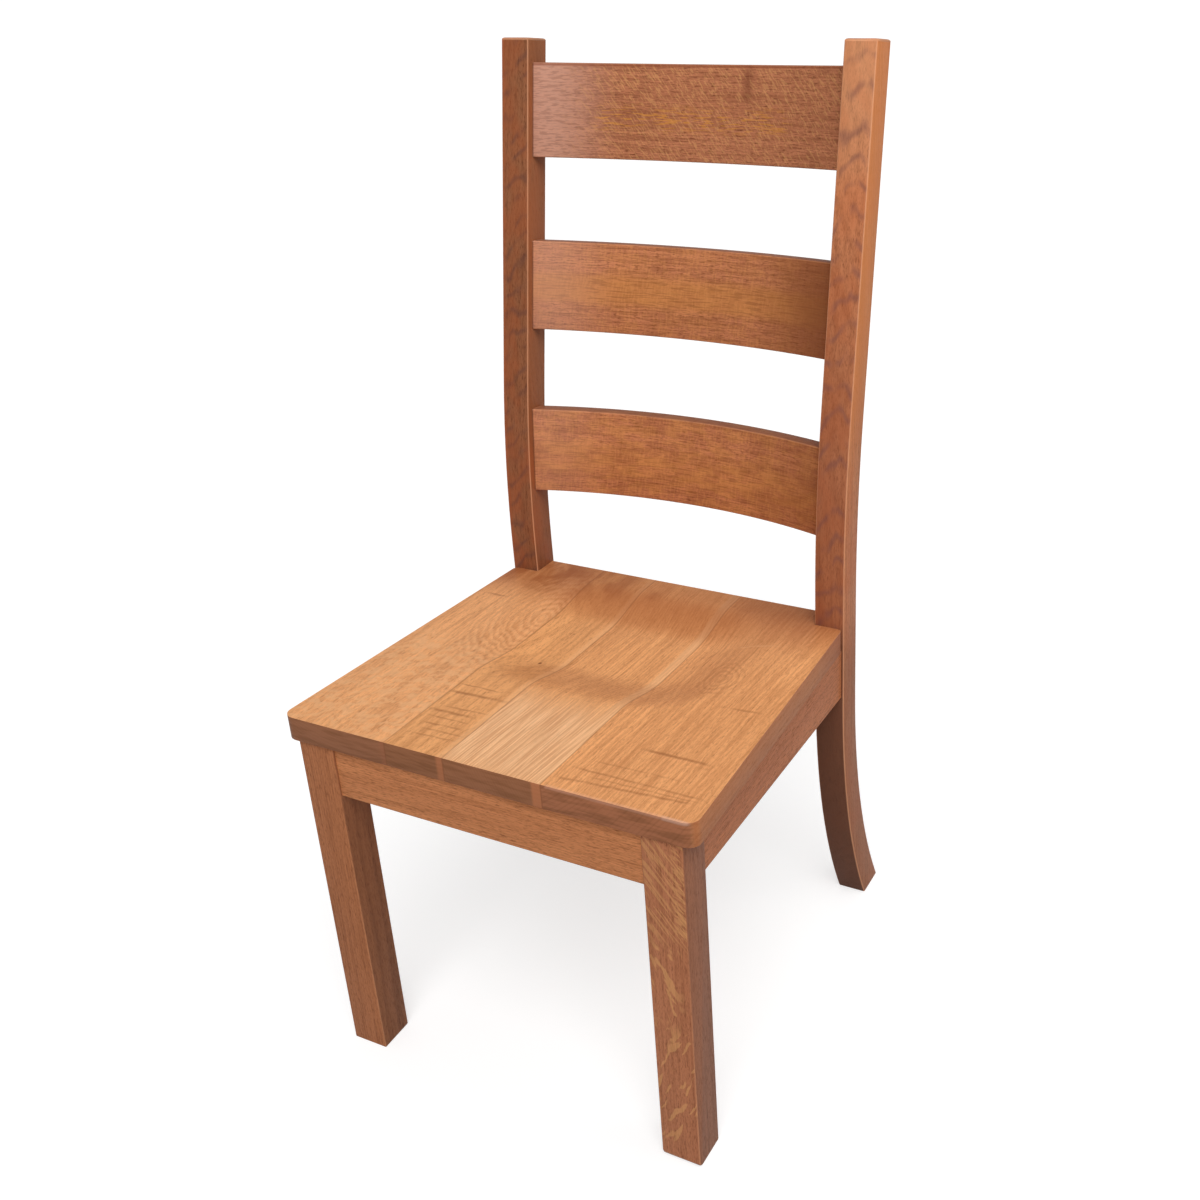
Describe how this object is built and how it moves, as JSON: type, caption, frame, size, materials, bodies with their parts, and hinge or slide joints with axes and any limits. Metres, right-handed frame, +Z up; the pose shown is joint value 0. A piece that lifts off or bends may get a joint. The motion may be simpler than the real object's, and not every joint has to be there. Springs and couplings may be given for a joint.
{
  "type": "dining chair",
  "caption": "Wooden ladder-back dining chair with raked bent slats, sabre rear legs, square front legs and a dished plank seat on an apron frame.",
  "frame": {"origin": "on the floor, under the middle of the chair's bounding box", "axes": "+X to the right as seen from the front, +Y from the front of the seat towards the back, +Z up"},
  "size_m": [0.4982, 0.583, 1.0797],
  "materials": {
    "oak_frame": "stained oak, satin lacquer",
    "oak_slat": "stained oak, satin lacquer",
    "oak_seat": "stained oak, satin lacquer",
    "oak_bare": "unfinished oak",
    "screw_steel": "zinc plated"
  },
  "bodies": {
    "root": {"back_post_right": "oak_frame", "back_post_left": "oak_frame", "front_leg_right": "oak_frame", "front_leg_left": "oak_frame", "front_apron": "oak_frame", "back_apron": "oak_frame", "side_apron_right": "oak_frame", "side_apron_left": "oak_frame", "top_slat": "oak_slat", "middle_slat": "oak_slat", "lower_slat": "oak_slat", "seat_board_1": "oak_seat", "seat_board_2": "oak_seat", "seat_board_3": "oak_seat", "seat_board_4": "oak_seat", "corner_block_front_right": "oak_bare", "corner_block_front_left": "oak_bare", "corner_block_rear_right": "oak_bare", "corner_block_rear_left": "oak_bare", "apron_dowels": "oak_bare", "corner_block_screws": "screw_steel", "seat_screws": "screw_steel"}
  },
  "joints": []
}
